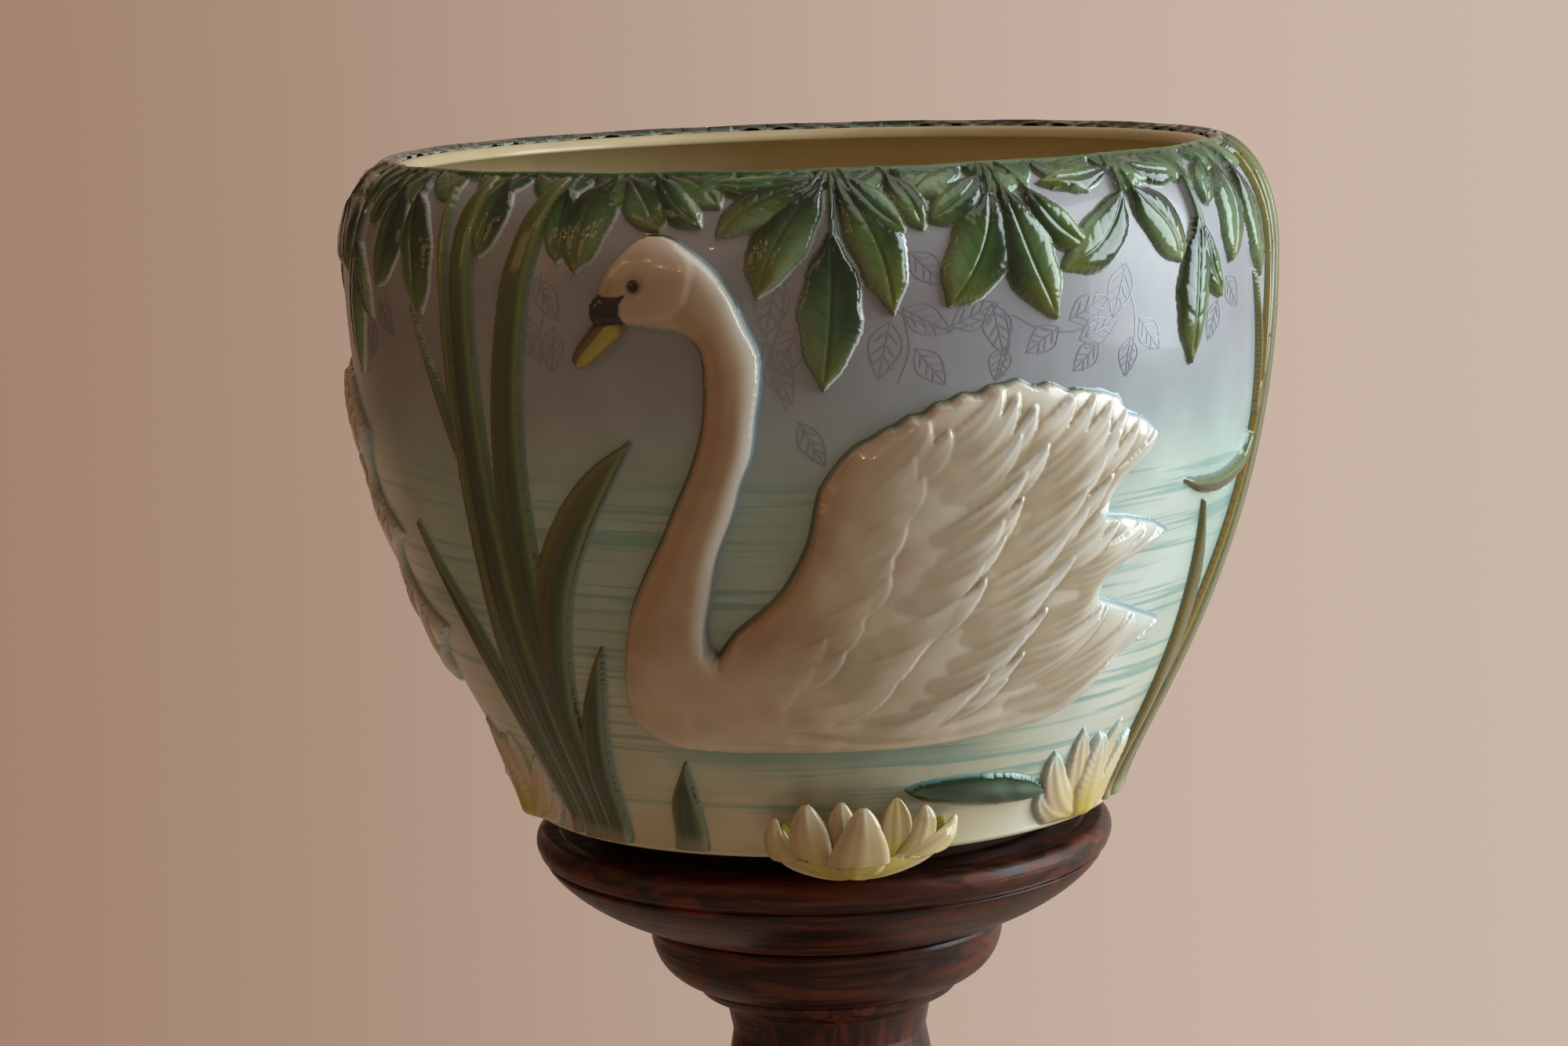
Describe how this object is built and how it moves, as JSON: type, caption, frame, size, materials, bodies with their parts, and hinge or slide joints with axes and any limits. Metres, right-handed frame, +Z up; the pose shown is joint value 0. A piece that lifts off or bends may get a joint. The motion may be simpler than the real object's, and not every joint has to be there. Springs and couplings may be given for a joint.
{
  "type": "jardiniere on stand",
  "caption": "Round glazed earthenware jardiniere with moulded swans, reeds, leaves and water lilies, on a turned hardwood pedestal stand with bun feet.",
  "frame": {"origin": "on the floor, on the axis of the stand", "axes": "+Z up; the swan seen from the front is on the -Y side, +X to the right of it"},
  "size_m": [0.3623, 0.3627, 1.2038],
  "materials": {
    "ground_glaze": "glossy majolica glaze, lavender grey above, aqua and cream below",
    "swan_glaze": "glossy ivory glaze with peach shading",
    "leaf_glaze": "glossy green glaze, pooled dark in the hollows",
    "reed_glaze": "glossy green glaze with yellow edges",
    "lily_glaze": "glossy cream glaze with yellow at the base",
    "pad_glaze": "glossy dark green glaze with an ochre edge",
    "hardwood": "dark red-brown stained and polished hardwood",
    "screw_steel": "plain steel"
  },
  "bodies": {
    "stand": {"stand_top": "hardwood", "capital": "hardwood", "upper_column": "hardwood", "column_knop": "hardwood", "lower_column": "hardwood", "base_bell": "hardwood", "plinth": "hardwood", "bun_foot_1": "hardwood", "bun_foot_2": "hardwood", "bun_foot_3": "hardwood", "bun_foot_4": "hardwood", "plinth_screw_1": "screw_steel", "plinth_screw_2": "screw_steel", "plinth_screw_3": "screw_steel", "plinth_screw_4": "screw_steel"},
    "jardiniere": {"jardiniere_body": "ground_glaze", "swan_1": "swan_glaze", "leaf_garland_1": "leaf_glaze", "reeds_1": "reed_glaze", "reed_sprout_1": "reed_glaze", "water_lily_1": "lily_glaze", "water_lily_2": "lily_glaze", "lily_pad_1": "pad_glaze", "swan_2": "swan_glaze", "leaf_garland_2": "leaf_glaze", "reeds_2": "reed_glaze", "reed_sprout_2": "reed_glaze", "water_lily_3": "lily_glaze", "water_lily_4": "lily_glaze", "lily_pad_2": "pad_glaze", "swan_3": "swan_glaze", "leaf_garland_3": "leaf_glaze", "reeds_3": "reed_glaze", "reed_sprout_3": "reed_glaze", "water_lily_5": "lily_glaze", "water_lily_6": "lily_glaze", "lily_pad_3": "pad_glaze"}
  },
  "joints": [
    {"name": "jardiniere_lift", "type": "slide", "parent": "stand", "child": "jardiniere", "axis": [0, 0, 1], "range_m": [0, 0.35]}
  ]
}
